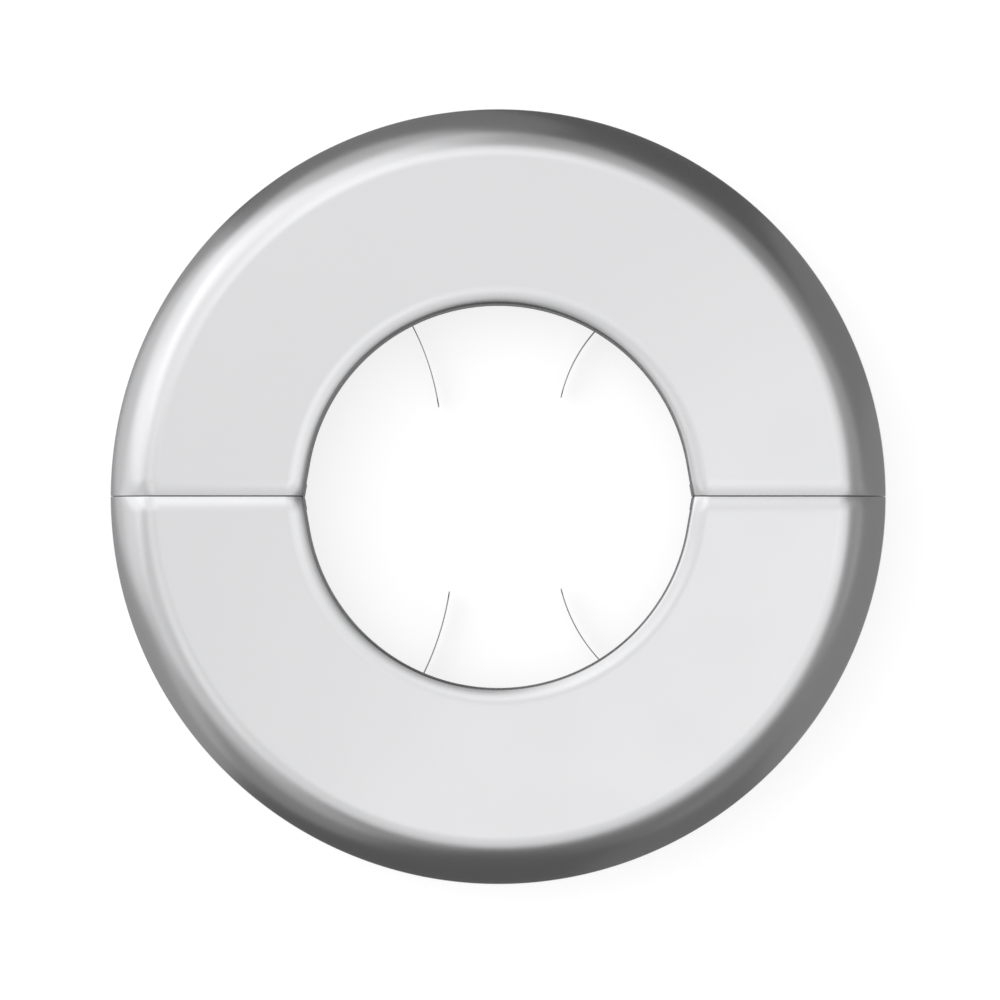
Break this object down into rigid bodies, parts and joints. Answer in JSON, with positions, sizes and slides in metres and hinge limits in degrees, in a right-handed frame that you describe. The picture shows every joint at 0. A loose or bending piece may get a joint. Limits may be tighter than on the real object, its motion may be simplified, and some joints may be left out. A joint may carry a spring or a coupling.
{
  "type": "pipe rosette",
  "caption": "Split round cover plate that plugs together round a pipe where it enters a wall, with spring leaves in the bore that grip the pipe.",
  "frame": {"origin": "on the bore's axis, in the plane of the wall that the skirt stands on", "axes": "+Z out of the wall along the pipe, +X along the seam, +Y into the upper half"},
  "size_m": [0.102, 0.102, 0.012],
  "materials": {
    "chrome": "chrome plated moulded plastic",
    "spring_steel": "bare spring steel strip"
  },
  "bodies": {
    "upper_half": {"upper_half_shell": "chrome"},
    "lower_half": {"lower_half_shell": "chrome"},
    "upper_left_spring": {"upper_left_leaf": "spring_steel"},
    "upper_right_spring": {"upper_right_leaf": "spring_steel"},
    "lower_left_spring": {"lower_left_leaf": "spring_steel"},
    "lower_right_spring": {"lower_right_leaf": "spring_steel"}
  },
  "joints": [
    {"name": "halves_pull_apart", "type": "slide", "parent": "upper_half", "child": "lower_half", "axis": [0, -1, 0], "range_m": [0, 0.06]},
    {"name": "upper_left_leaf_bend", "type": "hinge", "parent": "upper_half", "child": "upper_left_spring", "pos_m": [-0.01396, 0.0249, 0.0031], "axis": [0, 0, -1], "range_deg": [0, 80], "stiffness_Nm_per_rad": 0.055},
    {"name": "upper_right_leaf_bend", "type": "hinge", "parent": "upper_half", "child": "upper_right_spring", "pos_m": [0.01586, 0.02329, 0.0031], "axis": [0, 0, 1], "range_deg": [0, 80], "stiffness_Nm_per_rad": 0.055},
    {"name": "lower_left_leaf_bend", "type": "hinge", "parent": "lower_half", "child": "lower_left_spring", "pos_m": [-0.01241, -0.02566, 0.0031], "axis": [0, 0, 1], "range_deg": [0, 80], "stiffness_Nm_per_rad": 0.055},
    {"name": "lower_right_leaf_bend", "type": "hinge", "parent": "lower_half", "child": "lower_right_spring", "pos_m": [0.0165, -0.02286, 0.0031], "axis": [0, 0, -1], "range_deg": [0, 80], "stiffness_Nm_per_rad": 0.055}
  ]
}
